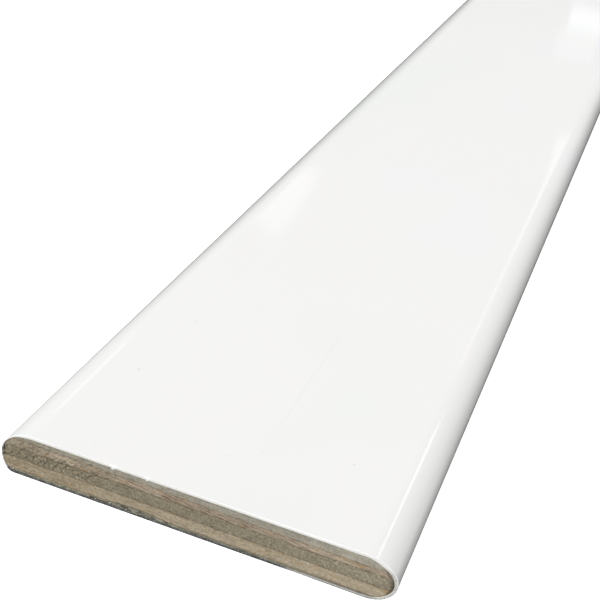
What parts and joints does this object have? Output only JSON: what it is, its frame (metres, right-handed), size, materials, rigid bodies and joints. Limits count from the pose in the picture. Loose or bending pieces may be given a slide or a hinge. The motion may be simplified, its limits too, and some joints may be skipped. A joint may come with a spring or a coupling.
{
  "type": "skirting board",
  "caption": "Flat plywood skirting board with a gloss white coat all round and rounded long edges, cut square at both ends.",
  "frame": {"origin": "middle of the flat back, the face that goes against the wall", "axes": "+X across the width, +Y along the length, +Z out of the face; the board lies on its back as in the picture"},
  "size_m": [0.1, 1, 0.012],
  "materials": {
    "white_gloss_coat": "white high-gloss lacquer",
    "face_veneer": "sawn end grain, grey",
    "upper_crossband": "sawn, streaked pinkish brown",
    "core_veneer": "rough sawn end grain, grey olive",
    "lower_crossband": "sawn, mottled tan",
    "back_veneer": "sawn end grain, grey"
  },
  "bodies": {
    "root": {"white_gloss_coat": "white_gloss_coat", "face_veneer": "face_veneer", "upper_crossband": "upper_crossband", "core_veneer": "core_veneer", "lower_crossband": "lower_crossband", "back_veneer": "back_veneer"}
  },
  "joints": []
}
